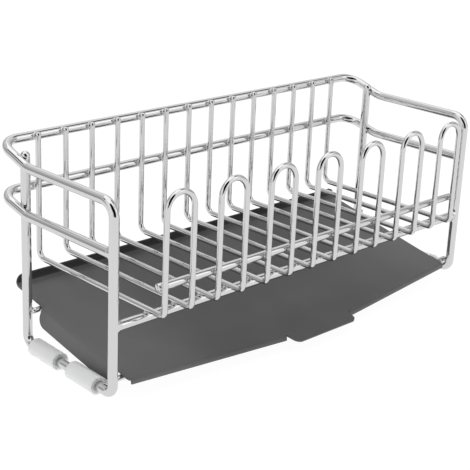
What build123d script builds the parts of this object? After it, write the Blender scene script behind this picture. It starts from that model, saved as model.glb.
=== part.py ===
from build123d import *
import os
from math import atan2, cos, degrees, radians, sin

# Kitchen sink caddy: a welded stainless wire rack on plastic-sleeved feet, with a loose drip
# tray that slopes to a spout at the front. Millimetres, +Z up, +X along the length, -Y towards
# the spout. The origin is on the table, midway between the four legs.

# Wire gauges
frame_wire_diameter = 5.0
basket_wire_diameter = 3.0
tie_rail_diameter = 4.0
tray_rod_diameter = 3.0

# Main frame: heights are those of the wires' centre lines above the table
leg_span = 264.0
leg_depth = 73.0
side_rail_height = 99.5
back_rail_height = 107.3
back_rail_reach = 17.0
kink_ahead_of_leg = 7.0
rear_leg_tip_above_rail = 4.325
leg_weld_sink = 1.7
foot_bend_radius = 5.0
top_bend_radius = 7.5
corner_bend_radius = 10.0
kink_bend_radius = 20.0

# Middle rail
mid_side_height = 75.0
mid_back_height = 81.1

# Basket of hairpin wires, welded in a little to the left of the middle
hairpin_count = 7
wire_pitch = 17.0
basket_off_centre = 1.2
basket_floor_height = 43.0
basket_front_reach = 12.5
loop_top_height = 103.0
front_foot_bend_radius = 3.0
back_foot_bend_radius = 4.5
tie_rail_height = 57.0
tie_rail_overhang = 0.5
wire_end_chamfer = 0.4

# Plastic foot sleeves
sleeve_diameter = 9.4
sleeve_gap = 10.7
sleeve_flat_depth = 0.3
sleeve_rim_depth = 1.2
sleeve_rim_wall = 1.1
sleeve_edge_radius = 0.9
front_sleeve_from_leg = 10.8
rear_sleeve_from_leg = 7.5

# Drip tray, folded from one coated sheet, which lies loose and a little to the left
rear_rod_height = 22.8
tray_sheet = 1.0
tray_rest_gap = 0.2
tray_side_play = 3.4
tray_slid_left = 1.2
tray_rear_wall_height = 5.2
tray_rear_wall_clearance = 1.0
tray_rear_wall_corner = 4.0
tray_bend_inner_radius = 1.5
skirt_depth = 10.0
skirt_splay = 8.0
skirt_corner_radius = 5.0
skirt_front_play = 2.0
skirt_rear_play = 0.9
tray_front_corner_ahead = 5.5
tray_front_corner_radius = 1.0
front_fold_ahead_at_spout = 15.6
front_lip_depth = 2.5
front_lip_turn = 80.0
front_lip_bend_inner_radius = 0.6
front_lip_corner_gap = 1.0
front_lip_spout_gap = 0.8
spout_root_half_width = 24.5
spout_tip_half_width = 23.0
spout_corner_radius = 4.0

frame_radius = frame_wire_diameter / 2
basket_radius = basket_wire_diameter / 2
rod_radius = tray_rod_diameter / 2
sleeve_radius = sleeve_diameter / 2

leg_x = leg_span / 2
front_leg_y = -leg_depth / 2
rear_leg_y = leg_depth / 2
rear_leg_x = leg_x - (frame_wire_diameter - leg_weld_sink)
foot_z = sleeve_radius - sleeve_flat_depth
back_rail_y = rear_leg_y + back_rail_reach
kink_y = rear_leg_y - kink_ahead_of_leg
rail_rise_at_leg = (back_rail_height - side_rail_height) * kink_ahead_of_leg / (back_rail_y - kink_y)
rear_leg_tip_z = side_rail_height + rail_rise_at_leg + rear_leg_tip_above_rail
sleeve_length = (leg_depth - front_sleeve_from_leg - rear_sleeve_from_leg - sleeve_gap) / 2

hairpin_front_y = front_leg_y - basket_front_reach
hairpin_back_y = back_rail_y - frame_radius - basket_radius
hairpin_tip_z = back_rail_height + frame_radius
front_rail_z = basket_floor_height - basket_radius - frame_radius

front_rod_y = front_leg_y + frame_radius + rod_radius
front_rod_z = foot_z + foot_bend_radius
rear_rod_y = rear_leg_y - frame_radius - rod_radius
tray_slope = atan2(rear_rod_height - front_rod_z, rear_rod_y - front_rod_y)
tray_seat = rod_radius + tray_rest_gap
tray_half_width = rear_leg_x - frame_radius - tray_side_play

os.makedirs("parts", exist_ok=True)


def swept_wire(path, diameter):
    """A round wire along a path of straight runs and tangent arcs."""
    start = Plane(origin=path @ 0, z_dir=path % 0)
    return sweep(start * Circle(diameter / 2), path=path)


def straight_wire(start, end, diameter):
    """A straight round wire from one point to another."""
    axis = Vector(end) - Vector(start)
    return extrude(Plane(origin=start, z_dir=axis) * Circle(diameter / 2), amount=axis.length)


def rail_points(side_height, back_height, front_y):
    """Centre line of a rail: level side, rise from the kink, back run, and the other side alike."""
    half = [
        (-leg_x, front_y, side_height),
        (-leg_x, kink_y, side_height),
        (-leg_x, back_rail_y, back_height),
    ]
    return half + [(-x, y, z) for x, y, z in reversed(half)]


# Main frame: one wire that runs from the tip of one rear leg along the foot, up the front leg,
# round the back as the top rail and down the other side to the second rear leg's tip.
def make_main_frame():
    foot_middle = (-(rear_leg_x + leg_x) / 2, 0, foot_z)
    other_foot_middle = (-foot_middle[0], 0, foot_z)
    front_foot = (-leg_x, front_leg_y, foot_z)
    other_front_foot = (leg_x, front_leg_y, foot_z)
    rail = rail_points(side_rail_height, back_rail_height, front_leg_y)
    side_radii = [foot_bend_radius, top_bend_radius, kink_bend_radius, corner_bend_radius]
    path = FilletPolyline(
        foot_middle, front_foot, *rail, other_front_foot, other_foot_middle,
        radius=side_radii + side_radii[::-1],
    )
    frame = swept_wire(path, frame_wire_diameter)
    for side in (-1, 1):
        leg_path = FilletPolyline(
            (side * rear_leg_x, rear_leg_y, rear_leg_tip_z - frame_radius),
            (side * rear_leg_x, rear_leg_y, foot_z),
            (side * other_foot_middle[0], 0, foot_z),
            radius=foot_bend_radius,
        )
        frame += swept_wire(leg_path, frame_wire_diameter)
        frame += Pos(side * rear_leg_x, rear_leg_y, rear_leg_tip_z - frame_radius) * Sphere(frame_radius)
    return frame


# Middle rail: the same bent form lower down, its ends coped to the backs of the front legs and
# its sides seated against the rear legs.
def make_middle_rail(frame):
    points = rail_points(mid_side_height, mid_back_height, front_leg_y)
    radii = [kink_bend_radius, corner_bend_radius, corner_bend_radius, kink_bend_radius]
    rail = swept_wire(FilletPolyline(*points, radius=radii), frame_wire_diameter)
    return largest_solid(rail - frame)


def largest_solid(shape):
    """The main solid of a cut, without the tip that a cope leaves beyond its seat."""
    return max(shape.solids(), key=lambda solid: solid.volume)


# Front bottom rail: a straight wire coped between the front legs, under the basket's floor.
def make_front_rail(frame):
    ends = [(x, front_leg_y, front_rail_z) for x in (-leg_x, leg_x)]
    return largest_solid(straight_wire(*ends, frame_wire_diameter) - frame)


# Tie rail: a straight wire welded to the backs of all the hairpins' front legs.
def make_tie_rail():
    half = (hairpin_count - 1 / 2) * wire_pitch + basket_radius + tie_rail_overhang
    y = hairpin_front_y + basket_radius + tie_rail_diameter / 2
    ends = [(x - basket_off_centre, y, tie_rail_height) for x in (-half, half)]
    rail = straight_wire(*ends, tie_rail_diameter)
    return chamfer(rail.edges().filter_by(GeomType.CIRCLE), wire_end_chamfer)


# Hairpin: one wire down the back, forward as two floor wires, up the front and over in a loop.
def make_hairpin(centre_x):
    loop_radius = wire_pitch / 2
    spring_z = loop_top_height - loop_radius
    left_x = centre_x - loop_radius
    right_x = centre_x + loop_radius
    legs = []
    for x in (left_x, right_x):
        legs.append(FilletPolyline(
            (x, hairpin_back_y, hairpin_tip_z),
            (x, hairpin_back_y, basket_floor_height),
            (x, hairpin_front_y, basket_floor_height),
            (x, hairpin_front_y, spring_z),
            radius=[back_foot_bend_radius, front_foot_bend_radius],
        ))
    loop = ThreePointArc(
        (left_x, hairpin_front_y, spring_z),
        (centre_x, hairpin_front_y, loop_top_height),
        (right_x, hairpin_front_y, spring_z),
    )
    path = Wire([*legs[0].edges(), *loop.edges(), *legs[1].edges()])
    hairpin = swept_wire(path, basket_wire_diameter)
    tips = hairpin.faces().filter_by(GeomType.PLANE).edges()
    return chamfer(tips, wire_end_chamfer)


# Tray rods: straight wires across the inner faces of the legs, which carry the tray.
def make_front_tray_rod():
    ends = [(x, front_rod_y, front_rod_z) for x in (-leg_x, leg_x)]
    return straight_wire(*ends, tray_rod_diameter)


def make_rear_tray_rod():
    ends = [(x, rear_rod_y, rear_rod_height) for x in (-rear_leg_x, rear_leg_x)]
    return straight_wire(*ends, tray_rod_diameter)


# Foot sleeve: a plastic tube pushed along the foot wire, with a recessed ring at each end and
# a narrow flat where it stands.
def make_sleeve(side, start_y):
    run = Vector(leg_x - rear_leg_x, -leg_depth, 0)
    share = (start_y - front_leg_y) / leg_depth
    along = Vector(-run.X * side, leg_depth, 0).normalized()
    centre = Vector(side * (leg_x - run.X * share), start_y, foot_z)
    base = Plane(origin=centre, z_dir=along)
    tube = extrude(base * Circle(sleeve_radius), amount=sleeve_length)
    tube = fillet(tube.edges().filter_by(GeomType.CIRCLE), sleeve_edge_radius)
    far = Plane(origin=centre + along * (sleeve_length - sleeve_rim_depth), z_dir=along)
    for end in (base, far):
        tube -= extrude(end * Circle(sleeve_radius - sleeve_rim_wall), amount=sleeve_rim_depth)
    tube -= extrude(base * Circle(frame_radius), amount=sleeve_length)
    return split(tube, bisect_by=Plane.XY, keep=Keep.TOP)


# Drip tray, drawn in its own plane: x across, y up the slope from the front rod, z = 0 on the
# underside of its floor.
def folded_strip(inner_radius, turn, reach):
    """Cross-section of the sheet turned down past a bend line at 0, then straight for reach."""
    outer_radius = inner_radius + tray_sheet
    angle = radians(turn)
    heading = Vector(cos(angle), -sin(angle))

    def on_arc(radius, at):
        return Vector(radius * sin(at), radius * cos(at) - inner_radius)

    outer_end = on_arc(outer_radius, angle)
    inner_end = on_arc(inner_radius, angle)
    return make_face([
        *ThreePointArc((0, tray_sheet), on_arc(outer_radius, angle / 2), outer_end).edges(),
        *Line(outer_end, outer_end + heading * reach).edges(),
        *Line(outer_end + heading * reach, inner_end + heading * reach).edges(),
        *Line(inner_end + heading * reach, inner_end).edges(),
        *ThreePointArc(inner_end, on_arc(inner_radius, angle / 2), (0, 0)).edges(),
        *Line((0, 0), (0, tray_sheet)).edges(),
    ])


def tray_run(world_y, height_above_floor):
    """Distance up the slope from the front rod of a point with the given world y."""
    lift = (tray_seat + height_above_floor) * sin(tray_slope)
    return (world_y - front_rod_y + lift) / cos(tray_slope)


def make_skirt(bend_x, near, far):
    turn = 90.0 - skirt_splay
    fall = (tray_bend_inner_radius + tray_sheet) * (1 - cos(radians(turn)))
    reach = (skirt_depth - fall) / sin(radians(turn))
    section = folded_strip(tray_bend_inner_radius, turn, reach)
    across = Plane(origin=(bend_x, near, 0), x_dir=(1, 0, 0), z_dir=(0, -1, 0))
    skirt = extrude(across * section, amount=-(far - near))
    lower = skirt.edges().filter_by(GeomType.LINE).filter_by(Axis.Y, reverse=True)
    corners = lower.group_by(Axis.Z)[0]
    return fillet(corners, skirt_corner_radius)


def make_rear_wall(bend_y):
    turn = 90.0 - degrees(tray_slope)
    rise = tray_bend_inner_radius * (1 - cos(radians(turn)))
    reach = (tray_rear_wall_height - rise) / sin(radians(turn))
    section = mirror(folded_strip(tray_bend_inner_radius, turn, reach), about=Plane.XZ)
    across = Plane(origin=(-tray_half_width, bend_y, tray_sheet), x_dir=(0, 1, 0), z_dir=(1, 0, 0))
    wall = extrude(across * section, amount=tray_half_width + tray_half_width)
    corners = wall.edges().filter_by(Axis.X, reverse=True).group_by(Axis.Z)[-1]
    return fillet(corners, tray_rear_wall_corner)


def make_front_lip(root, corner):
    """The narrow lip turned down along the front edge from the spout's root to the corner."""
    line = Vector(corner) - Vector(root)
    along = line.normalized()
    fall = (front_lip_bend_inner_radius + tray_sheet) * (1 - cos(radians(front_lip_turn)))
    reach = (front_lip_depth - fall) / sin(radians(front_lip_turn))
    section = folded_strip(front_lip_bend_inner_radius, front_lip_turn, reach)
    start = Vector(root) + along * front_lip_spout_gap
    outward = along.cross(Vector(0, 0, -1))
    across = Plane(origin=start, x_dir=outward, z_dir=outward.cross(Vector(0, 0, 1)))
    length = line.length - front_lip_spout_gap - front_lip_corner_gap
    return extrude(across * section, amount=length)


def make_tray():
    bend_x = tray_half_width - tray_bend_inner_radius
    skirt_near = rod_radius + skirt_front_play
    skirt_far = (rear_rod_y - front_rod_y) / cos(tray_slope) - rod_radius - skirt_rear_play
    wall_turn = radians(90.0) - tray_slope
    wall_rise = tray_sheet + tray_bend_inner_radius * (1 - cos(wall_turn))
    wall_y = hairpin_back_y + basket_radius + tray_rear_wall_clearance
    wall_bend = tray_run(wall_y, wall_rise) - tray_bend_inner_radius * sin(wall_turn)
    tip = tray_run(-(back_rail_y + frame_radius), tray_sheet)

    right = [
        (0, tip),
        (spout_tip_half_width, tip),
        (spout_root_half_width, -front_fold_ahead_at_spout),
        (tray_half_width, -tray_front_corner_ahead),
        (tray_half_width, skirt_near),
        (bend_x, skirt_near),
        (bend_x, skirt_far),
        (tray_half_width, skirt_far),
        (tray_half_width, wall_bend),
        (0, wall_bend),
    ]
    half = make_face(Polyline(*right, close=True))
    outline = half + mirror(half, about=Plane.YZ)
    floor = extrude(outline, amount=tray_sheet)
    # Counted from the front, the floor's corners are the spout's tip, its root and the front edge's ends
    for rank, radius in ((2, tray_front_corner_radius), (0, spout_corner_radius)):
        corners = floor.edges().filter_by(Axis.Z).group_by(Axis.Y)[rank]
        floor = fillet(corners, radius)

    skirt = make_skirt(bend_x, skirt_near, skirt_far)
    lip = make_front_lip(
        (spout_root_half_width, -front_fold_ahead_at_spout, 0),
        (tray_half_width, -tray_front_corner_ahead, 0),
    )
    sheet = floor + make_rear_wall(wall_bend)
    for piece in (skirt, lip):
        sheet += piece
        sheet += mirror(piece, about=Plane.YZ)
    front_rod = Pos(-tray_slid_left, front_rod_y, front_rod_z)
    return front_rod * Rot(degrees(tray_slope), 0, 0) * Pos(0, 0, tray_seat) * sheet


frame = make_main_frame()
nodes = {
    "main_frame_wire": frame,
    "middle_rail": make_middle_rail(frame),
    "front_bottom_rail": make_front_rail(frame),
    "front_tie_rail": make_tie_rail(),
    "front_tray_rod": make_front_tray_rod(),
    "rear_tray_rod": make_rear_tray_rod(),
    "drip_tray": make_tray(),
}
for number in range(hairpin_count):
    centre_x = (number - (hairpin_count - 1) / 2) * wire_pitch * 2 - basket_off_centre
    nodes[f"hairpin_wire_{number + 1}"] = make_hairpin(centre_x)
for side_name, side in (("left", -1), ("right", 1)):
    front_start = front_leg_y + front_sleeve_from_leg
    rear_start = rear_leg_y - rear_sleeve_from_leg - sleeve_length
    nodes[f"{side_name}_front_foot_sleeve"] = make_sleeve(side, front_start)
    nodes[f"{side_name}_rear_foot_sleeve"] = make_sleeve(side, rear_start)

for name, shape in nodes.items():
    export_step(shape, f"parts/{name}.step")
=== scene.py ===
import bmesh
import bpy
import numpy as np
from mathutils import Matrix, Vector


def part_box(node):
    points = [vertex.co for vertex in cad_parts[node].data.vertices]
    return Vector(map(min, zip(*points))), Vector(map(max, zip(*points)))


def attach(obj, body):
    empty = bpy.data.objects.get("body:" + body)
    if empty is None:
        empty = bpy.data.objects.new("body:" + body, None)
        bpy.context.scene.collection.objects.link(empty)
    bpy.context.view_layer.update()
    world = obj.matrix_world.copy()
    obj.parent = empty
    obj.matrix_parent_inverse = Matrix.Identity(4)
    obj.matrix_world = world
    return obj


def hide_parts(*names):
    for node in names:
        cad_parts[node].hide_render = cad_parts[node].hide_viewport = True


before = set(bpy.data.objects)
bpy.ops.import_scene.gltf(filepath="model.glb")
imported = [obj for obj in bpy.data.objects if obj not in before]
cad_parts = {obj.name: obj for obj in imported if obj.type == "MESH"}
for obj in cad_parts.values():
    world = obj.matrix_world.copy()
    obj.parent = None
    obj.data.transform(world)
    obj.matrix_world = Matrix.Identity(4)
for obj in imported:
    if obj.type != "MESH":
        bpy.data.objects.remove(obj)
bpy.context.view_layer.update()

# Main frame: one thick stainless wire, bent on a former from the tip of one rear leg to the tip of
# the other, by way of the foot, the front leg, the side rail and the back. It is electropolished
# after welding, which leaves a bright skin with a faint grain along the wire.
frame_wire = 0.0025
frame_sides = 28
side_rail_z = 0.0995
kink_y = 0.0295
rear_leg_x = 0.1287
rear_leg_y = 0.0365
rear_leg_tip_above_rail = 0.004325
foot_bend = 0.005
top_bend = 0.0075
kink_bend = 0.020
corner_bend = 0.010
sharp_angle = np.radians(50)
frame_low, frame_high = (np.array(corner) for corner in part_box("main_frame_wire"))
leg_x = frame_high[0] - frame_wire
front_leg_y = frame_low[1] + frame_wire
back_rail_y = frame_high[1] - frame_wire
back_rail_z = frame_high[2] - frame_wire
foot_z = frame_low[2] + frame_wire


def bent_line(corners, bends, step=0.002):
    """Centre line of a bent wire. A corner is cut back on both sides by its bend's radius times the
    tangent of half the turn. The arc starts square to its radius and swings by the turn: centre plus
    radius times (start direction times cosine plus run direction times sine). It has four points,
    and nine more for each radian. Straight runs are divided evenly, about one step apart."""
    corners = np.array(corners, float)
    runs = np.diff(corners, axis=0)
    heads = runs / np.linalg.norm(runs, axis=1)[:, None]
    pieces = [corners[:1]]
    for here, bend in enumerate(bends, start=1):
        before, after = heads[here - 1], heads[here]
        turn = np.arccos(before @ after)
        entry = corners[here] - before * bend * np.tan(turn / 2)
        inward = (after - before) / np.linalg.norm(after - before)
        centre = corners[here] + inward * bend / np.cos(turn / 2)
        swing = np.linspace(0, turn, 4 + int(turn * 9))[:, None]
        pieces.append(centre + (entry - centre) * np.cos(swing) + before * bend * np.sin(swing))
    pieces.append(corners[-1:])
    line = [pieces[0]]
    for piece in pieces[1:]:
        gap = piece[0] - line[-1][-1]
        count = max(2, int(np.linalg.norm(gap) / step) + 1)
        share = np.linspace(0, 1, count + 1)[1:-1, None]
        line.append(line[-1][-1] + gap * share)
        line.append(piece)
    return np.concatenate(line)


def grid_faces(rows, columns, wrapped):
    """Corner numbers of the four-sided faces between the neighbouring rows and columns of a grid."""
    row, column = np.meshgrid(
        np.arange(rows - 1), np.arange(columns if wrapped else columns - 1), indexing="ij"
    )
    beside = (column + 1) % columns
    near, far = row * columns, (row + 1) * columns
    return np.stack([near + column, near + beside, far + beside, far + column], -1).reshape(-1, 4)


def closed_rings(rings):
    """Points and faces of a stack of rings, closed by a pole at each end."""
    rows, columns = rings.shape[:2]
    points = np.concatenate([rings.reshape(-1, 3), rings[:1].mean(1), rings[-1:].mean(1)])
    here = np.arange(columns)
    beside = (here + 1) % columns
    first, last, tail = rows * columns, rows * columns + 1, (rows - 1) * columns
    faces = grid_faces(rows, columns, True).tolist()
    faces += np.stack([np.full(columns, first), beside, here], -1).tolist()
    faces += np.stack([np.full(columns, last), tail + here, tail + beside], -1).tolist()
    return points, faces


def wire_skin(line, radius, sides, ends, cut=0.0004):
    """Skin of a round wire. Each point of the line carries a ring of the wire's radius in the plane
    square to the line, and an end closes in a dome or in a flat face with a broken edge, by rings
    that shrink to a pole. Each ring starts on the side that faces a slanted reference direction, so
    the rings don't twist. The grain's first value is the share of the way round the wire, and its
    second the distance along it in metres."""
    heads = np.gradient(line, axis=0)
    heads /= np.linalg.norm(heads, axis=1)[:, None]
    radii = np.full(len(line), radius)
    for at, way in ((0, 1), (-1, -1)):
        end, head = line[at], heads[at] * way
        if ends[at] == "domed":
            swing = np.radians(np.linspace(8, 90, 7))
            inset, size = radius * (1 - np.cos(swing)), radius * np.sin(swing)
        else:
            inset, size = np.array([0, cut]), np.array([radius - cut, radius])
        clear_of_rings = inset[-1] + radius / 8
        keep = np.linalg.norm(line - end, axis=1) > clear_of_rings
        ring_line = end + inset[:, None] * head
        ring_heads = np.repeat(heads[at][None], len(inset), 0)
        parts = [(ring_line, ring_heads, size), (line[keep], heads[keep], radii[keep])]
        if way < 0:
            parts = [parts[1], tuple(part[::-1] for part in parts[0])]
        line, heads, radii = (np.concatenate(part) for part in zip(*parts))
    reference = np.array([0.58, -0.57, 0.59])
    side = reference - heads * (heads @ reference)[:, None]
    side /= np.linalg.norm(side, axis=1)[:, None]
    up = np.cross(heads, side)
    turn = np.arange(sides) / sides * 2 * np.pi
    ring = side[:, None] * np.cos(turn)[None, :, None] + up[:, None] * np.sin(turn)[None, :, None]
    points, faces = closed_rings(line[:, None] + ring * radii[:, None, None])
    along = np.concatenate([[0], np.cumsum(np.linalg.norm(np.diff(line, axis=0), axis=1))])
    row, column = np.divmod(np.arange((len(line) - 1) * sides), sides)
    across = np.stack([column, column + 1, column + 1, column], -1) / sides
    length = np.stack([along[row], along[row], along[row + 1], along[row + 1]], -1)
    side_grain = np.stack([across, length], -1).reshape(-1, 2)
    cap_length = np.repeat([along[0], along[-1]], sides * 3)
    cap_grain = np.stack([np.zeros(len(cap_length)), cap_length], -1)
    return points, faces, np.concatenate([side_grain, cap_grain])


def steel_finish(name):
    """Electropolished stainless steel. Fine noise stretched along the wire stands for its drawn
    grain, a broader noise for the uneven polish, and the weld attribute, highest at a weld and falling
    to zero around it, for the dull straw tint that the heat leaves."""
    finish = bpy.data.materials.new(name)
    finish.use_nodes = True
    nodes, links = finish.node_tree.nodes, finish.node_tree.links
    shader = nodes["Principled BSDF"]
    shader.inputs["Metallic"].default_value = 1.0
    place = nodes.new("ShaderNodeTexCoord")
    grain_place = nodes.new("ShaderNodeMapping")
    grain_place.inputs["Scale"].default_value = (26.0, 60.0, 1.0)
    grain = nodes.new("ShaderNodeTexNoise")
    grain.inputs["Scale"].default_value = 1.0
    grain.inputs["Detail"].default_value = 3.0
    polish = nodes.new("ShaderNodeTexNoise")
    polish.inputs["Scale"].default_value = 420.0
    polish.inputs["Detail"].default_value = 2.0
    weld = nodes.new("ShaderNodeAttribute")
    weld.attribute_name = "weld"
    rough = nodes.new("ShaderNodeMapRange")
    rough.inputs["From Min"].default_value = 0.3
    rough.inputs["From Max"].default_value = 0.7
    rough.inputs["To Min"].default_value = 0.03
    rough.inputs["To Max"].default_value = 0.08
    dull = nodes.new("ShaderNodeMath")
    dull.operation = "MULTIPLY_ADD"
    dull.inputs[1].default_value = 0.04
    tint = nodes.new("ShaderNodeMix")
    tint.data_type = "RGBA"
    tint.inputs["A"].default_value = (0.63, 0.63, 0.635, 1)
    tint.inputs["B"].default_value = (0.40, 0.39, 0.375, 1)
    bump = nodes.new("ShaderNodeBump")
    bump.inputs["Strength"].default_value = 0.10
    bump.inputs["Distance"].default_value = 0.00008
    links.new(place.outputs["UV"], grain_place.inputs["Vector"])
    links.new(grain_place.outputs["Vector"], grain.inputs["Vector"])
    links.new(place.outputs["Object"], polish.inputs["Vector"])
    links.new(grain.outputs["Fac"], rough.inputs["Value"])
    links.new(weld.outputs["Fac"], dull.inputs[0])
    links.new(rough.outputs["Result"], dull.inputs[2])
    links.new(dull.outputs["Value"], shader.inputs["Roughness"])
    links.new(weld.outputs["Fac"], tint.inputs["Factor"])
    links.new(tint.outputs["Result"], shader.inputs["Base Color"])
    links.new(polish.outputs["Fac"], bump.inputs["Height"])
    links.new(bump.outputs["Normal"], shader.inputs["Normal"])
    return finish


def add_piece(name, points, faces, finish, body, grain=None):
    """Makes a piece from its points and faces, with its finish and the body that
    carries it."""
    mesh = bpy.data.meshes.new(name)
    mesh.from_pydata(points.tolist(), [], faces)
    if grain is not None:
        mesh.uv_layers.new(name="grain").data.foreach_set("uv", grain.astype(np.float32).ravel())
    mesh.materials.append(finish)
    mesh.shade_smooth()
    mesh.set_sharp_from_angle(angle=sharp_angle)
    piece = bpy.data.objects.new(name, mesh)
    bpy.context.scene.collection.objects.link(piece)
    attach(piece, body)
    return piece


def rail_corners(side_z, back_z, front_y):
    """Corners of a rail: level side, rise from the kink, back, and the other side alike."""
    half = np.array([
        (-leg_x, front_y, side_z),
        (-leg_x, kink_y, side_z),
        (-leg_x, back_rail_y, back_z),
    ])
    return np.concatenate([half, half[::-1] * (-1, 1, 1)])


def rail_height_at(y, side_z, back_z):
    """Height of a rail's centre line beyond its kink."""
    return side_z + (back_z - side_z) * (y - kink_y) / (back_rail_y - kink_y)


bright_steel = steel_finish("bright_steel_wire")
rear_leg_tip_z = rail_height_at(rear_leg_y, side_rail_z, back_rail_z) + rear_leg_tip_above_rail
frame_ends = np.array([
    (-rear_leg_x, rear_leg_y, rear_leg_tip_z),
    (-rear_leg_x, rear_leg_y, foot_z),
    (-leg_x, front_leg_y, foot_z),
])
frame_line = bent_line(
    np.concatenate([
        frame_ends,
        rail_corners(side_rail_z, back_rail_z, front_leg_y),
        frame_ends[::-1] * (-1, 1, 1),
    ]),
    [foot_bend, foot_bend, top_bend, kink_bend, corner_bend,
     corner_bend, kink_bend, top_bend, foot_bend, foot_bend],
)
points, faces, grain = wire_skin(frame_line, frame_wire, frame_sides, ("domed", "domed"))
frame_piece = add_piece("frame_wire", points, faces, bright_steel, "rack", grain)
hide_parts("main_frame_wire")

# Middle rail: the same stainless wire, bent over the same former and set lower down. Its ends are
# cut square, pressed a little into the backs of the front legs and welded there.
butt_sink = 0.0004
mid_low, mid_high = (np.array(corner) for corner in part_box("middle_rail"))
mid_side_z = mid_low[2] + frame_wire
mid_back_z = mid_high[2] - frame_wire
butt_y = front_leg_y + frame_wire - butt_sink
mid_line = bent_line(
    rail_corners(mid_side_z, mid_back_z, butt_y), [kink_bend, corner_bend, corner_bend, kink_bend]
)
points, faces, grain = wire_skin(mid_line, frame_wire, frame_sides, ("cut", "cut"))
mid_piece = add_piece("middle_rail_wire", points, faces, bright_steel, "rack", grain)
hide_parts("middle_rail")

# Front bottom rail, tie rail and tray rods: straight lengths of stainless wire, cut square. The
# bottom rail is welded between the front legs, the tie rail to the hairpins, and the rods to the
# inner faces of the legs.
tie_sides = 24
thin_sides = 20
front_rail_z = (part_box("front_bottom_rail")[0][2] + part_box("front_bottom_rail")[1][2]) / 2
butt_x = leg_x - frame_wire + butt_sink


def straight_piece(name, node, sides, reach):
    """A straight wire of the size and place of its node, which lies along X. It goes no further than
    the reach from the middle of the caddy."""
    low, high = (np.array(corner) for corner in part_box(node))
    radius = (high[2] - low[2]) / 2
    middle = (low + high) / 2
    ends = [(np.clip(x, -reach, reach), middle[1], middle[2]) for x in (low[0], high[0])]
    points, faces, grain = wire_skin(bent_line(ends, []), radius, sides, ("cut", "cut"))
    piece = add_piece(name, points, faces, bright_steel, "rack", grain)
    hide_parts(node)
    return piece, middle, radius


front_rail, _, _ = straight_piece("front_bottom_wire", "front_bottom_rail", frame_sides, butt_x)
tie_rail, tie_middle, tie_radius = straight_piece("tie_wire", "front_tie_rail", tie_sides, leg_x)
front_rod, front_rod_middle, rod_radius = straight_piece(
    "front_rod_wire", "front_tray_rod", thin_sides, leg_x
)
rear_rod, rear_rod_middle, _ = straight_piece("rear_rod_wire", "rear_tray_rod", thin_sides, leg_x)

# Hairpins: seven thin stainless wires. Each comes down the back, runs forward as two floor wires,
# turns up at the front and closes in a half-round loop.
basket_wire = 0.0015
loop_top_z = 0.103
back_foot_bend = 0.0045
front_foot_bend = 0.003
hairpin_count = 7
hairpin_pieces = []
hairpin_x = []
for number in range(1, hairpin_count + 1):
    low, high = (np.array(corner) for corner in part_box(f"hairpin_wire_{number}"))
    left_x, right_x = low[0] + basket_wire, high[0] - basket_wire
    hairpin_x += [left_x, right_x]
    basket_front_y, basket_back_y = low[1] + basket_wire, high[1] - basket_wire
    floor_z, tip_z = low[2] + basket_wire, high[2]
    loop_radius = (right_x - left_x) / 2
    spring_z = loop_top_z - loop_radius
    leg = bent_line(
        [
            (left_x, basket_back_y, tip_z),
            (left_x, basket_back_y, floor_z),
            (left_x, basket_front_y, floor_z),
            (left_x, basket_front_y, spring_z),
        ],
        [back_foot_bend, front_foot_bend],
    )
    swing = np.linspace(np.pi, 0, 23)[1:-1]
    loop = np.stack([
        (left_x + right_x) / 2 + loop_radius * np.cos(swing),
        np.full(len(swing), basket_front_y),
        spring_z + loop_radius * np.sin(swing),
    ], -1)
    other_leg = leg[::-1] * (-1, 1, 1) + (left_x + right_x, 0, 0)
    line = np.concatenate([leg, loop, other_leg])
    points, faces, grain = wire_skin(line, basket_wire, thin_sides, ("cut", "cut"))
    piece = add_piece(f"hairpin_{number}", points, faces, bright_steel, "rack", grain)
    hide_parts(f"hairpin_wire_{number}")
    hairpin_pieces.append(piece)
hairpin_x = np.array(hairpin_x)

# Welds: the wires are joined by resistance and by torch, with no filler beyond a small bead. Where
# two wires cross, the bead is a waisted ring of metal between them. Where one butts against
# another, it is a hollow fillet around the end.
weld_gap = 0.0011
tie_weld_gap = 0.0006
rod_weld_gap = 0.0006
rail_weld_gap = 0.0016
rod_weld_inset = 0.0008
rail_fillet = 0.0016
front_rail_fillet = 0.0022
heat_spread = 0.0016
bead_heat = 0.7
wire_heat = 0.6
weld_points = []


def drop_beside(distance, radius):
    """How far a round wire's surface has fallen away at a distance from its crest: radius - square
    root of (radius squared - distance squared). The distance is kept just short of the wire's edge."""
    return radius - np.sqrt(radius ** 2 - np.minimum(distance, radius * 0.98) ** 2)


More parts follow.
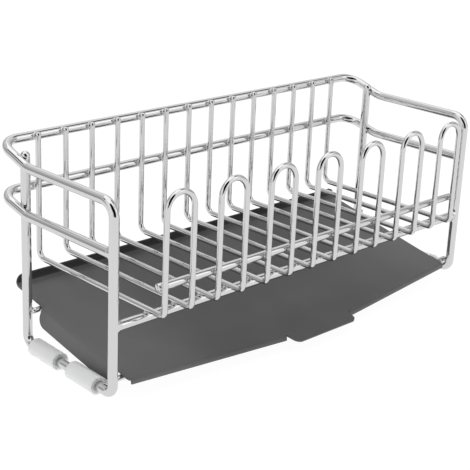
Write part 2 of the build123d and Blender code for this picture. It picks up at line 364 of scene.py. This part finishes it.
def crossing_bead(contact, normal, along_one, radius_one, along_two, radius_two, gap, seed):
    """Bead between two crossing wires. In each direction round the contact it reaches to where the
    two round surfaces have parted by the gap: radius = square root of 2 gap / (sine squared to wire
    one / its radius + sine squared to wire two / its radius). Across, it runs from one surface to the
    other with a waist, and closes inside both wires."""
    contact = np.array(contact, float)
    across = np.cross(normal, along_one)
    turn = np.linspace(0, 2 * np.pi, 24, endpoint=False)
    way = along_one * np.cos(turn)[:, None] + across * np.sin(turn)[:, None]
    off_one = np.linalg.norm(np.cross(way, along_one), axis=1)
    off_two = np.linalg.norm(np.cross(way, along_two), axis=1)
    chance = np.random.default_rng(seed)
    lopsided = 0.10 * np.sin(turn + chance.uniform(0, 6.3))
    rippled = 0.06 * np.sin(3 * turn + chance.uniform(0, 6.3))
    parting = off_one ** 2 / radius_one + off_two ** 2 / radius_two
    reach = np.sqrt(2 * gap * (1 + lopsided + rippled) / parting)
    drop_one = drop_beside(reach * off_one, radius_one)
    drop_two = drop_beside(reach * off_two, radius_two)
    share = np.array([-0.45, -0.2, 0, 0.2, 0.5, 0.8, 1, 1.2, 1.45])
    width = np.array([0.25, 0.8, 1, 0.9, 0.82, 0.9, 1, 0.8, 0.25])
    height = -drop_one[None] + (drop_one + drop_two)[None] * share[:, None]
    spread = reach[None] * width[:, None]
    rings = contact + way[None] * spread[..., None] + normal * height[..., None]
    weld_points.append(contact)
    return closed_rings(rings)


def butt_fillet(contact, along, leg_way, butt_radius, leg_radius, size):
    """Fillet round a wire that butts against a leg. Its toe stands out on the leg by the size times
    (0.3 + 0.7 cosine squared of the angle to the leg), its heel lies about 1.3 times as far along it,
    and between them runs a quadratic curve: toe (1 - t) squared + 2 corner t (1 - t) + heel t squared.
    It closes inside the leg and inside the wire."""
    contact = np.array(contact, float)
    sideways = np.cross(along, leg_way)
    turn = np.linspace(0, 2 * np.pi, 32, endpoint=False)
    stand = size * (0.30 + 0.70 * np.cos(turn) ** 2)
    lateral = np.minimum(np.abs(butt_radius * np.sin(turn)), leg_radius * 0.97) * np.sign(np.sin(turn))
    drop = leg_radius - np.sqrt(leg_radius ** 2 - lateral ** 2)

    def place(up, side, out):
        return contact + leg_way * up[:, None] + sideways * side[:, None] + along * out[:, None]

    def wire_ring(share, out):
        return place(butt_radius * np.cos(turn) * share, butt_radius * np.sin(turn) * share, out)

    toe = place((butt_radius + stand) * np.cos(turn), lateral * 1.01, -drop)
    corner = wire_ring(1.05, stand * 0.15 - drop)
    heel = wire_ring(1.005, stand * 1.3 - drop * 0.4)
    t = np.linspace(0, 1, 7)[:, None, None]
    curve = toe * (1 - t) ** 2 + corner * 2 * t * (1 - t) + heel * t ** 2
    root = wire_ring(0.5, -drop - size * 0.5)
    inner = wire_ring(0.5, stand * 1.3)
    rings = np.concatenate([root[None], toe[None] - along * size * 0.4, curve, inner[None]])
    weld_points.append(contact)
    return closed_rings(rings)


def add_welds(name, beads):
    """One piece of all the beads of a row, with their faces numbered on from each other."""
    points, faces, count = [], [], 0
    for bead_points, bead_faces in beads:
        points.append(bead_points)
        faces += [[corner + count for corner in face] for face in bead_faces]
        count += len(bead_points)
    return add_piece(name, np.concatenate(points), faces, bright_steel, "rack")


# Two wires that cross are given by the first one's direction and radius and then the second one's.
x_way, y_way, z_way = np.eye(3)
weld_pieces = []
rail_wires = (x_way, frame_wire, z_way, basket_wire)
for name, rail_z, seed in (("top_rail_welds", back_rail_z, 100), ("middle_rail_welds", mid_back_z, 200)):
    weld_pieces.append(add_welds(name, [
        crossing_bead((x, back_rail_y - frame_wire, rail_z), -y_way, *rail_wires, weld_gap, seed + n)
        for n, x in enumerate(hairpin_x)
    ]))
floor_wires = (x_way, frame_wire, y_way, basket_wire)
weld_pieces.append(add_welds("front_rail_welds", [
    crossing_bead((x, front_leg_y, front_rail_z + frame_wire), z_way, *floor_wires, weld_gap, 300 + n)
    for n, x in enumerate(hairpin_x)
]))
tie_wires = (z_way, basket_wire, x_way, tie_radius)
weld_pieces.append(add_welds("tie_rail_welds", [
    crossing_bead((x, basket_front_y + basket_wire, tie_middle[2]), y_way, *tie_wires, tie_weld_gap, 400 + n)
    for n, x in enumerate(hairpin_x)
]))
leg_beads = []
rod_wires = (z_way, frame_wire, x_way, rod_radius)
for side in (-1, 1):
    contact = (side * leg_x, front_leg_y + frame_wire, mid_side_z)
    leg_beads.append(butt_fillet(contact, y_way, z_way, frame_wire, frame_wire, rail_fillet))
    contact = (side * (leg_x - frame_wire), front_leg_y, front_rail_z)
    leg_beads.append(butt_fillet(contact, -side * x_way, z_way, frame_wire, frame_wire, front_rail_fillet))
    contact = (side * (leg_x - rod_weld_inset), front_leg_y + frame_wire, front_rod_middle[2])
    leg_beads.append(crossing_bead(contact, y_way, *rod_wires, rod_weld_gap, 500 + side))
    contact = (side * (rear_leg_x - rod_weld_inset), rear_leg_y - frame_wire, rear_rod_middle[2])
    leg_beads.append(crossing_bead(contact, -y_way, *rod_wires, rod_weld_gap, 510 + side))
    for low_z, high_z in ((side_rail_z, back_rail_z), (mid_side_z, mid_back_z)):
        rise = np.array([0, back_rail_y - kink_y, high_z - low_z])
        rise /= np.linalg.norm(rise)
        contact = (side * (leg_x + rear_leg_x) / 2, rear_leg_y, rail_height_at(rear_leg_y, low_z, high_z))
        leg_wires = (rise, frame_wire, z_way, frame_wire)
        leg_beads.append(crossing_bead(contact, -side * x_way, *leg_wires, rail_weld_gap, 520 + side))
weld_pieces.append(add_welds("leg_welds", leg_beads))


def point_places(piece):
    """The places of the piece's points."""
    places = np.zeros(len(piece.data.vertices) * 3, np.float32)
    piece.data.vertices.foreach_get("co", places)
    return places.reshape(-1, 3)


def give_points(piece, name, shares):
    """Gives each point of the piece its share of an effect, which the finish reads by this name."""
    attribute = piece.data.attributes.new(name, "FLOAT", "POINT")
    attribute.data.foreach_set("value", shares.astype(np.float32))


weld_centres = np.array(weld_points)
wire_pieces = [frame_piece, mid_piece, front_rail, tie_rail, front_rod, rear_rod, *hairpin_pieces]
for pieces, hottest in ((wire_pieces, wire_heat), (weld_pieces, bead_heat)):
    for piece in pieces:
        nearest = np.linalg.norm(point_places(piece)[:, None] - weld_centres[None], axis=2).min(1)
        give_points(piece, "weld", np.exp(-(nearest / heat_spread) ** 2) * hottest)

# Foot sleeves: four tubes of soft off-white plastic, pushed on the foot wires. Each has a shallow
# ring let into its ends around the wire, and a narrow flat where it stands.
sleeve_radius = 0.0047
sleeve_length = 0.022
sleeve_edge = 0.0009
sleeve_rim = 0.0011
sleeve_recess = 0.00025
sleeve_bore = frame_wire * 1.002
front_sleeve_from_leg = 0.0108
rear_sleeve_from_leg = 0.0075


def plastic_finish():
    """Soft, slightly see-through off-white plastic, with a fine moulded grain and a faint yellowing
    in broad patches."""
    finish = bpy.data.materials.new("sleeve_plastic")
    finish.use_nodes = True
    nodes, links = finish.node_tree.nodes, finish.node_tree.links
    shader = nodes["Principled BSDF"]
    shader.inputs["Roughness"].default_value = 0.42
    shader.inputs["Subsurface Weight"].default_value = 1.0
    shader.inputs["Subsurface Radius"].default_value = (0.9, 0.9, 0.9)
    shader.inputs["Subsurface Scale"].default_value = 0.005
    place = nodes.new("ShaderNodeTexCoord")
    patches = nodes.new("ShaderNodeTexNoise")
    patches.inputs["Scale"].default_value = 90.0
    grain = nodes.new("ShaderNodeTexNoise")
    grain.inputs["Scale"].default_value = 2200.0
    tone = nodes.new("ShaderNodeValToRGB")
    tone.color_ramp.elements[0].color = (0.80, 0.81, 0.815, 1)
    tone.color_ramp.elements[1].color = (0.87, 0.87, 0.865, 1)
    bump = nodes.new("ShaderNodeBump")
    bump.inputs["Strength"].default_value = 0.25
    bump.inputs["Distance"].default_value = 0.00006
    for texture in (patches, grain):
        links.new(place.outputs["Object"], texture.inputs["Vector"])
    links.new(patches.outputs["Fac"], tone.inputs["Fac"])
    links.new(tone.outputs["Color"], shader.inputs["Base Color"])
    links.new(grain.outputs["Fac"], bump.inputs["Height"])
    links.new(bump.outputs["Normal"], shader.inputs["Normal"])
    return finish


def sleeve_skin(start, along):
    """A turned tube: its section, a closed outline of distance along the wire and distance from it,
    is carried round the wire. An end's outer edge is a quarter circle, and the rim's inner edge is
    broken a little. Points under the table's top are raised to it, which gives the flat."""
    swing = np.linspace(0, np.pi / 2, 6)
    edge_in = sleeve_edge * (1 - np.sin(swing))
    edge_out = sleeve_radius - sleeve_edge * (1 - np.cos(swing))
    inner = sleeve_radius - sleeve_rim
    broken_in, broken_out = sleeve_recess * 0.15, sleeve_rim * 0.12
    end = [(sleeve_recess, sleeve_bore), (sleeve_recess, inner), (broken_in, inner), (0, inner + broken_out)]
    end += list(zip(edge_in, edge_out[::-1]))
    middle = np.linspace(sleeve_edge, sleeve_length - sleeve_edge, 9)[1:-1]
    other_end = [(sleeve_length - at, away) for at, away in end[::-1]]
    section = np.array(end + [(at, sleeve_radius) for at in middle] + other_end)
    side = np.cross(along, z_way)
    side /= np.linalg.norm(side)
    turn = np.linspace(0, 2 * np.pi, 48, endpoint=False)
    ring = side * np.cos(turn)[:, None] + z_way * np.sin(turn)[:, None]
    points = start + along * section[:, :1][:, None] + ring[None] * section[:, 1][:, None, None]
    points[..., 2] = np.maximum(points[..., 2], 0)
    points = points.reshape(-1, 3)
    faces = grid_faces(len(section), len(turn), True)
    last = np.arange(len(turn)) + (len(section) - 1) * len(turn)
    first = np.arange(len(turn))
    ring_faces = np.stack([last, np.roll(last, -1), np.roll(first, -1), first], -1)
    return points, np.concatenate([faces, ring_faces]).tolist()


sleeve_plastic = plastic_finish()
for side_name, side in (("left", -1), ("right", 1)):
    run = np.array([side * (rear_leg_x - leg_x), rear_leg_y - front_leg_y, 0])
    along = run / np.linalg.norm(run)
    for end_name, start_y in (
        ("front", front_leg_y + front_sleeve_from_leg),
        ("rear", rear_leg_y - rear_sleeve_from_leg - sleeve_length),
    ):
        start = np.array([side * leg_x, front_leg_y, foot_z]) + run * (start_y - front_leg_y) / run[1]
        points, faces = sleeve_skin(start, along)
        foot_name = f"{side_name}_{end_name}"
        piece = add_piece(f"{foot_name}_sleeve", points, faces, sleeve_plastic, "rack")
        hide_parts(f"{foot_name}_foot_sleeve")

# Drip tray: one steel sheet with a matte dark coating, cut to an outline and folded. The back is
# turned up, the sides turned down between the rods, the slanted front edges turned down in a
# narrow lip, and the spout left flat. It lies loose on the two rods.
sheet = 0.001
rest_gap = 0.0002
tray_low, tray_high = (np.array(corner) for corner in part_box("drip_tray"))
tray_half_width = 0.1228
bend_inside = 0.0015
wall_height = 0.0052
wall_behind_basket = 0.001
wall_corner = 0.004
skirt_depth = 0.010
skirt_splay = np.radians(8)
skirt_corner = 0.005
skirt_front_play = 0.002
skirt_rear_play = 0.0009
front_corner_v = -0.0055
front_corner_round = 0.001
spout_root_v = -0.0156
spout_root_half = 0.0245
spout_tip_half = 0.0230
spout_round = 0.004
lip_depth = 0.0025
lip_turn = np.radians(80)
lip_bend_inside = 0.0006
lip_corner_gap = 0.001
lip_spout_gap = 0.0008
lip_fade = 0.0004
wave_height = 0.00008
merge_distance = 0.00002
edge_break = 0.0002
slope = np.arctan2(rear_rod_middle[2] - front_rod_middle[2], rear_rod_middle[1] - front_rod_middle[1])
seat = rod_radius + rest_gap
tray_middle_x = (tray_low[0] + tray_high[0]) / 2


def tray_place(u, v, w):
    """A point of the tray: u across, v up the slope from the front rod, w square to the floor from its
    underside."""
    lift = w + seat
    y = front_rod_middle[1] + v * np.cos(slope) - lift * np.sin(slope)
    z = front_rod_middle[2] + v * np.sin(slope) + lift * np.cos(slope)
    return np.stack([tray_middle_x + u + 0 * y, y, z + 0 * u], -1)


def run_to(y, w):
    """Distance up the slope of a point with the given y and height over the floor's underside."""
    return (y - front_rod_middle[1] + (w + seat) * np.sin(slope)) / np.cos(slope)


def corner_round(over, radius):
    """How far a rounded corner draws an edge back at the given distance past the arc's start: radius -
    square root of (radius squared - distance squared)."""
    return radius - np.sqrt(radius ** 2 - np.clip(over, 0, radius) ** 2)


spout_tip_v = run_to(-frame_high[1], sheet)
flank_slope = (spout_root_v - spout_tip_v) / (spout_root_half - spout_tip_half)
spout_turn = np.arctan(flank_slope)
spout_cut_back = spout_round * np.tan(spout_turn / 2)
spout_arc_start = spout_tip_half - spout_cut_back
spout_arc_end = spout_tip_half + spout_cut_back * np.cos(spout_turn)


def front_edge(u):
    """Distance up the slope of the front edge: the spout's tip, its slanted sides, and the slanted
    edge from its root to the tray's corner, with a rounded corner at the tip and at the tray's."""
    u = np.abs(u)
    tip = spout_tip_v + corner_round(u - spout_arc_start, spout_round)
    flank = spout_tip_v + (u - spout_tip_half) * flank_slope
    edge_slope = (front_corner_v - spout_root_v) / (tray_half_width - spout_root_half)
    edge = spout_root_v + (u - spout_root_half) * edge_slope
    edge = edge + corner_round(u - (tray_half_width - front_corner_round), front_corner_round)
    return np.where(u < spout_arc_end, tip, np.where(u < spout_root_half, flank, edge))


def smooth_step(low, high, x):
    """Rises from 0 at low to 1 at high with level ends: 3 t squared - 2 t cubed."""
    t = np.clip((x - low) / (high - low), 0, 1)
    return t * t * (3 - 2 * t)


bend_u = tray_half_width - bend_inside
skirt_near = rod_radius + skirt_front_play
skirt_far = (rear_rod_middle[1] - front_rod_middle[1]) / np.cos(slope) - rod_radius - skirt_rear_play
wall_turn = np.pi / 2 - slope
wall_y = basket_back_y + basket_wire + wall_behind_basket
wall_bend_w = sheet + bend_inside * (1 - np.cos(wall_turn))
wall_bend_v = run_to(wall_y, wall_bend_w) - bend_inside * np.sin(wall_turn)
lip_end_u = tray_half_width - lip_corner_gap

# The floor's columns stand closer at the spout, at the lip's ends and beside the side folds. The
# tabs are the floor's two ends beyond the side folds, in front of the skirt and behind it.
plain_from, plain_to, close_from = 0.032, 0.116, 0.1176
lip_start_shares = np.array([0.5, 0.75, 1, 1.5, 2.5, 4, 6])
lip_end_shares = np.array([-0.25, 0, 0.25, 0.5, 0.75, 1])
corner_u = tray_half_width - front_corner_round * (1 - np.sin(np.radians(np.linspace(0, 90, 10))))
half_u = np.concatenate([
    np.linspace(0, spout_arc_start, 9),
    spout_arc_start + spout_round * np.sin(np.linspace(0, spout_turn, 12)),
    np.linspace(spout_arc_end, spout_root_half, 4)[1:],
    spout_root_half + lip_spout_gap * lip_start_shares,
    np.linspace(plain_from, plain_to, 36),
    np.linspace(close_from, bend_u, 9),
])
half_u = np.unique(np.round(half_u, 6))
floor_u = np.concatenate([-half_u[:0:-1], half_u])
tab_u = np.concatenate([
    [bend_u], lip_end_u + lip_fade * lip_end_shares, corner_u[corner_u > lip_end_u + lip_fade],
])

corner_swing = 1 - np.sin(np.radians(np.linspace(90, 10, 9)))
skirt_v = np.concatenate([
    skirt_near + skirt_corner * corner_swing,
    np.linspace(skirt_near + skirt_corner, skirt_far - skirt_corner, 20),
    (skirt_far - skirt_corner * corner_swing)[::-1],
])


def waviness(u, v):
    """The sheet's slight unevenness, about a tenth of a millimetre high: a sine across times a sine up
    the slope, plus 0.7 times a slanted sine. It dies out towards the folds and the front edge."""
    wave = np.sin(u * 71 + 1.1) * np.sin(v * 103 + 0.4) + 0.7 * np.sin((u + 0.6 * v) * 127 + 2.0)
    fade = smooth_step(bend_u, bend_u - 0.018, np.abs(u)) * smooth_step(-0.002, 0.012, v)
    return wave_height * wave * fade * smooth_step(wall_bend_v, wall_bend_v - 0.012, v)


front_rows = 10
near_row = front_rows - 1
far_row = near_row + len(skirt_v) - 1


def floor_rows(u):
    """Rows of floor points between the front edge and the rear fold, for the given places across.
    The skirt hangs between the near row and the far one."""
    front = front_edge(u)
    share = np.linspace(0, 1, front_rows)[:, None]
    rows = [front + (skirt_near - front) * share, np.repeat(skirt_v[1:, None], len(u), 1)]
    rows.append(np.repeat(np.linspace(skirt_far, wall_bend_v, 6)[1:, None], len(u), 1))
    return np.concatenate(rows)


def wall_points(u):
    """The turned-up back: an arc from the floor, then straight, cut lower towards its rounded ends."""
    swing = np.linspace(0, wall_turn, 7)[1:, None] + 0 * u
    v = wall_bend_v + bend_inside * np.sin(swing)
    w = sheet + bend_inside * (1 - np.cos(swing))
    height = wall_height - corner_round(np.abs(u) - (tray_half_width - wall_corner), wall_corner)
    reach = (height - bend_inside * (1 - np.cos(wall_turn))) / np.sin(wall_turn)
    share = np.linspace(0, 1, 5)[1:, None]
    v = np.concatenate([v, v[-1] + reach * share * np.cos(wall_turn)])
    w = np.concatenate([w, w[-1] + reach * share * np.sin(wall_turn)])
    return tray_place(np.broadcast_to(u, v.shape), v, w)


def lip_points(u):
    """The turned-down front lip: an arc from the slanted edge, then straight. Between its ends it is
    whole, and beyond them it shrinks to nothing within 0.4 mm."""
    away = np.abs(u)
    whole = smooth_step(spout_root_half + lip_spout_gap / 2, spout_root_half + lip_spout_gap, away)
    whole = whole * smooth_step(lip_end_u + lip_fade, lip_end_u, away)
    outer = lip_bend_inside + sheet
    swing = np.linspace(0, lip_turn, 6)[:0:-1, None]
    out = outer * np.sin(swing) * whole
    down = outer * (1 - np.cos(swing)) * whole
    reach = (lip_depth - outer * (1 - np.cos(lip_turn))) / np.sin(lip_turn) * whole
    out = np.concatenate([out[:1] + reach * np.cos(lip_turn), out])
    down = np.concatenate([down[:1] + reach * np.sin(lip_turn), down])
    front = front_edge(u)
    return tray_place(np.broadcast_to(u, out.shape), front - out, sheet - down)


def tray_skin():
    """The sheet's upper side: floor, back and lip in one grid, and at each side two flat tabs with
    the skirt between them, all joined at their common points."""
    v = floor_rows(floor_u)
    floor = tray_place(np.broadcast_to(floor_u, v.shape), v, sheet + waviness(floor_u, v))
    parts = [np.concatenate([lip_points(floor_u), floor, wall_points(floor_u)])]
    for side in (-1, 1):
        across = side * tab_u[::side]
        v = floor_rows(across)
        flat = tray_place(np.broadcast_to(across, v.shape), v, np.full(v.shape, sheet))
        parts.append(np.concatenate([lip_points(across), flat[:near_row + 1]]))
        parts.append(np.concatenate([flat[far_row:], wall_points(across)]))
        v = floor_rows(np.array([side * bend_u]))[near_row:far_row + 1]
        swing = np.linspace(0, np.pi / 2 - skirt_splay, 8)[None]
        outer = bend_inside + sheet
        out = outer * np.sin(swing) + 0 * v
        down = outer * (1 - np.cos(swing)) + 0 * v
        along = np.minimum(v - skirt_near, skirt_far - v)
        depth = skirt_depth - corner_round(skirt_corner - along, skirt_corner)
        reach = (depth - down[:, -1:]) / np.sin(swing[0, -1])
        share = np.linspace(0, 1, 8)[None, 1:]
        out = np.concatenate([out, out[:, -1:] + reach * share * np.cos(swing[0, -1])], 1)
        down = np.concatenate([down, down[:, -1:] + reach * share * np.sin(swing[0, -1])], 1)
        skirt = tray_place(side * (bend_u + out), np.broadcast_to(v, out.shape), sheet - down)
        parts.append(skirt[:, ::side])
    points, faces, count = [], [], 0
    for part in parts:
        faces.append(grid_faces(*part.shape[:2], False) + count)
        points.append(part.reshape(-1, 3))
        count += len(points[-1])
    return np.concatenate(points), np.concatenate(faces).tolist()


def coating_finish():
    """Matte dark grey non-stick coating: a fine pebbled grain, broad soft patches a shade lighter and
    darker, a painted sheen that makes it lighter towards both ends (by the square of the distance from
    the middle), painted shade that makes it dark where the sheet turns up into the back, by an attribute
    that rises to one there, and a slight sheen at low angles."""
    finish = bpy.data.materials.new("tray_coating")
    finish.use_nodes = True
    nodes, links = finish.node_tree.nodes, finish.node_tree.links
    shader = nodes["Principled BSDF"]
    shader.inputs["Specular IOR Level"].default_value = 0.45
    place = nodes.new("ShaderNodeTexCoord")
    patches = nodes.new("ShaderNodeTexNoise")
    patches.inputs["Scale"].default_value = 22.0
    patches.inputs["Detail"].default_value = 3.0
    grain = nodes.new("ShaderNodeTexNoise")
    grain.inputs["Scale"].default_value = 3200.0
    grain.inputs["Detail"].default_value = 2.0
    spread = nodes.new("ShaderNodeSeparateXYZ")
    away = nodes.new("ShaderNodeMath")
    away.operation = "MULTIPLY"
    # Painted sheen: the colour gets lighter towards both ends, by the square of the distance from the
    # middle.
    painted_end_sheen = nodes.new("ShaderNodeMapRange")
    painted_end_sheen.interpolation_type = "SMOOTHSTEP"
    painted_end_sheen.inputs["From Min"].default_value = 0.0012
    painted_end_sheen.inputs["From Max"].default_value = 0.013
    painted_end_sheen.inputs["To Min"].default_value = -0.10
    painted_end_sheen.inputs["To Max"].default_value = 0.36
    # The random patches plus the painted sheen towards the ends.
    patches_and_end_sheen = nodes.new("ShaderNodeMath")
    patches_and_end_sheen.operation = "ADD"
    tone = nodes.new("ShaderNodeValToRGB")
    tone.color_ramp.elements[0].position = 0.3
    tone.color_ramp.elements[0].color = (0.090, 0.090, 0.091, 1)
    tone.color_ramp.elements[1].position = 0.9
    tone.color_ramp.elements[1].color = (0.141, 0.140, 0.141, 1)
    # Painted shade: the mask that darkens the coating on the turned-up back.
    painted_wall_shade = nodes.new("ShaderNodeAttribute")
    painted_wall_shade.attribute_name = "painted_wall_shade"
    # Painted shade: mixes a near-black colour into the coating where the sheet turns up into the back.
    thick = nodes.new("ShaderNodeMix")
    thick.data_type = "RGBA"
    thick.inputs["B"].default_value = (0.030, 0.030, 0.031, 1)
    rough = nodes.new("ShaderNodeMapRange")
    rough.inputs["From Min"].default_value = 0.3
    rough.inputs["From Max"].default_value = 0.7
    rough.inputs["To Min"].default_value = 0.52
    rough.inputs["To Max"].default_value = 0.62
    bump = nodes.new("ShaderNodeBump")
    bump.inputs["Strength"].default_value = 0.35
    bump.inputs["Distance"].default_value = 0.00004
    for texture in (patches, grain):
        links.new(place.outputs["Object"], texture.inputs["Vector"])
    links.new(place.outputs["Object"], spread.inputs["Vector"])
    links.new(spread.outputs["X"], away.inputs[0])
    links.new(spread.outputs["X"], away.inputs[1])
    links.new(away.outputs["Value"], painted_end_sheen.inputs["Value"])
    links.new(painted_end_sheen.outputs["Result"], patches_and_end_sheen.inputs[0])
    links.new(patches.outputs["Fac"], patches_and_end_sheen.inputs[1])
    links.new(patches_and_end_sheen.outputs["Value"], tone.inputs["Fac"])
    links.new(patches.outputs["Fac"], rough.inputs["Value"])
    links.new(painted_wall_shade.outputs["Fac"], thick.inputs["Factor"])
    links.new(tone.outputs["Color"], thick.inputs["A"])
    links.new(thick.outputs["Result"], shader.inputs["Base Color"])
    links.new(rough.outputs["Result"], shader.inputs["Roughness"])
    links.new(grain.outputs["Fac"], bump.inputs["Height"])
    links.new(bump.outputs["Normal"], shader.inputs["Normal"])
    return finish


points, faces = tray_skin()
tray = add_piece("drip_tray_sheet", points, faces, coating_finish(), "tray")
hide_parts("drip_tray")
work = bmesh.new()
work.from_mesh(tray.data)
bmesh.ops.remove_doubles(work, verts=work.verts, dist=merge_distance)
work.to_mesh(tray.data)
work.free()
from_rod = point_places(tray) - front_rod_middle
above_floor = from_rod[:, 2] * np.cos(slope) - from_rod[:, 1] * np.sin(slope) - seat - sheet
# Painted shade: the coating is darkened where the sheet turns up into the back, rising to one past the fold.
give_points(tray, "painted_wall_shade", smooth_step(bend_inside * 0.15, bend_inside, above_floor))
thick = tray.modifiers.new("sheet_thickness", "SOLIDIFY")
thick.thickness = sheet
thick.offset = -1
thick.use_even_offset = True
edges = tray.modifiers.new("coated_edges", "BEVEL")
edges.width = edge_break
edges.segments = 2
edges.limit_method = "ANGLE"
edges.angle_limit = sharp_angle

# Floor: a pale light table, a matte white sheet lit from below, that the caddy stands on.
floor_half = 4.0
bpy.ops.mesh.primitive_plane_add(size=floor_half * 2)
floor = bpy.context.object
floor.name = "pale_floor"
floor_paint = bpy.data.materials.new("pale_floor_paint")
floor_paint.use_nodes = True
floor_shader = floor_paint.node_tree.nodes["Principled BSDF"]
floor_shader.inputs["Base Color"].default_value = (0.10, 0.10, 0.10, 1)
floor_shader.inputs["Roughness"].default_value = 0.9
floor_shader.inputs["Specular IOR Level"].default_value = 0.1
floor_shader.inputs["Emission Color"].default_value = (1, 1, 1, 1)
floor_shader.inputs["Emission Strength"].default_value = 0.95
floor.data.materials.append(floor_paint)

# Studio light: a white tent, dim at its horizon and brighter overhead, with bright panels at the
# left and low at the front right. The opening that the camera looks through is dark, as are a patch
# high at the right and one seam among the bright and grey bands behind the caddy.
world = bpy.data.worlds.new("white_tent")
bpy.context.scene.world = world
world.use_nodes = True
tent_nodes, tent_links = world.node_tree.nodes, world.node_tree.links
tent_place = tent_nodes.new("ShaderNodeTexCoord")
tent_height = tent_nodes.new("ShaderNodeSeparateXYZ")
tent_tone = tent_nodes.new("ShaderNodeValToRGB")
tent_links.new(tent_place.outputs["Generated"], tent_height.inputs["Vector"])
tent_links.new(tent_height.outputs["Z"], tent_tone.inputs["Fac"])
tent_shades = [(0.0, 0.20), (0.25, 0.24), (0.47, 0.31), (0.62, 0.36), (0.75, 0.42), (0.87, 0.58)]
tent_strength = 2.42
tent_tone.color_ramp.elements.remove(tent_tone.color_ramp.elements[1])
for stop, (height, shade) in enumerate(tent_shades):
    element = tent_tone.color_ramp.elements[0] if stop == 0 else tent_tone.color_ramp.elements.new(height)
    element.position = height
    element.color = (shade, shade, shade, 1)

# Each patch: its compass angle from +X and its height, the angles from its middle where it ends and
# where it is full, all in degrees, and its shade.
tent_patches = (
    (-172, 15, 42, 15, 0.46),
    (-60, 12, 27, 17, 0.46),
    (-50, 27, 13, 7, 0.68),
    (-106, 20, 29, 23, 0.003),
    (-124, 43, 29, 22, 0.003),
    (-10, 51, 15, 9, 0.05),
    (50, 28, 22, 10, 0.43),
    (66, 41, 14, 8, 0.45),
    (70, 56, 12, 6, 0.75),
    (84, 48, 12, 7, 0.36),
    (106, 45, 13, 7, 0.31),
    (127, 27, 12, 6, 0.20),
    (140, 46, 10, 6, 0.01),
    (136, 6, 14, 8, 0.17),
)
tent_shade = tent_tone.outputs["Color"]
for *angles, shade in tent_patches:
    across, up, outer, inner = np.radians(angles)
    toward = tent_nodes.new("ShaderNodeVectorMath")
    toward.operation = "DOT_PRODUCT"
    toward.inputs[1].default_value = (
        np.cos(across) * np.cos(up),
        np.sin(across) * np.cos(up),
        np.sin(up),
    )
    patch = tent_nodes.new("ShaderNodeMapRange")
    patch.interpolation_type = "SMOOTHSTEP"
    patch.inputs["From Min"].default_value = np.cos(outer)
    patch.inputs["From Max"].default_value = np.cos(inner)
    blend = tent_nodes.new("ShaderNodeMix")
    blend.data_type = "RGBA"
    blend.inputs["B"].default_value = (shade, shade, shade, 1)
    tent_links.new(tent_place.outputs["Generated"], toward.inputs[0])
    tent_links.new(toward.outputs["Value"], patch.inputs["Value"])
    tent_links.new(patch.outputs["Result"], blend.inputs["Factor"])
    tent_links.new(tent_shade, blend.inputs["A"])
    tent_shade = blend.outputs["Result"]
tent_links.new(tent_shade, tent_nodes["Background"].inputs["Color"])
tent_nodes["Background"].inputs["Strength"].default_value = tent_strength

# Camera: stands in front of the caddy's left end and looks down on it, at the photograph's angle.
picture_width = 470
focal_pixels = 1218.209
picture_centre = np.array([241.37, 227.693])
azimuth, elevation, roll = np.radians([-45.316, 19.635, -2.698])
camera_place = np.array([-0.4569, -0.4379, 0.2741])
ahead = np.array([
    -np.sin(azimuth) * np.cos(elevation),
    np.cos(azimuth) * np.cos(elevation),
    -np.sin(elevation),
])
level = np.array([np.cos(azimuth), np.sin(azimuth), 0])
below = np.cross(ahead, level)
right = np.cos(roll) * level + np.sin(roll) * below
down = -np.sin(roll) * level + np.cos(roll) * below
lens = bpy.data.cameras.new("photo_camera")
lens.sensor_width = 36
lens.lens = focal_pixels / picture_width * lens.sensor_width
lens.shift_x = -(picture_centre[0] - picture_width / 2) / picture_width
lens.shift_y = (picture_centre[1] - picture_width / 2) / picture_width
lens.clip_start = 0.01
camera = bpy.data.objects.new("photo_camera", lens)
bpy.context.scene.collection.objects.link(camera)
turned = np.eye(4)
turned[:3] = np.stack([right, -down, -ahead, camera_place], -1)
camera.matrix_world = Matrix(turned.tolist())
bpy.context.scene.camera = camera
bpy.context.scene.view_settings.view_transform = "Standard"
